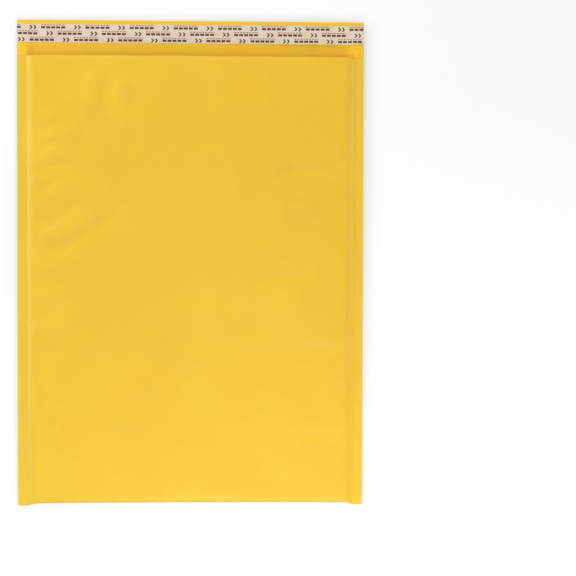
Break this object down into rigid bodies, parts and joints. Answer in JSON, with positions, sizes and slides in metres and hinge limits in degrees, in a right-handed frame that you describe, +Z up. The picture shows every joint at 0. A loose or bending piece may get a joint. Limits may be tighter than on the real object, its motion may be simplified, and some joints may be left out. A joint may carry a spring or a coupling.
{
  "type": "bubble mailer",
  "caption": "Large kraft padded mailer lined with bubble film, open at the mouth, with a peel-off strip over the glue on its flap.",
  "frame": {"origin": "on the table, under the middle of the mailer's bounding box", "axes": "+Y from the bottom fold to the flap, +X across the width, +Z up out of the front face"},
  "size_m": [0.362, 0.508, 0.0141],
  "materials": {
    "kraft_paper": "smooth golden kraft paper with a low sheen and soft wrinkles",
    "bubble_film": "clear, slightly hazy polyethylene bubble film",
    "glue": "glossy amber hot-melt adhesive",
    "liner_paper": null
  },
  "bodies": {
    "root": {"kraft_shell": "kraft_paper", "bubble_lining": "bubble_film", "glue_strip": "glue", "release_liner": "liner_paper"}
  },
  "joints": []
}
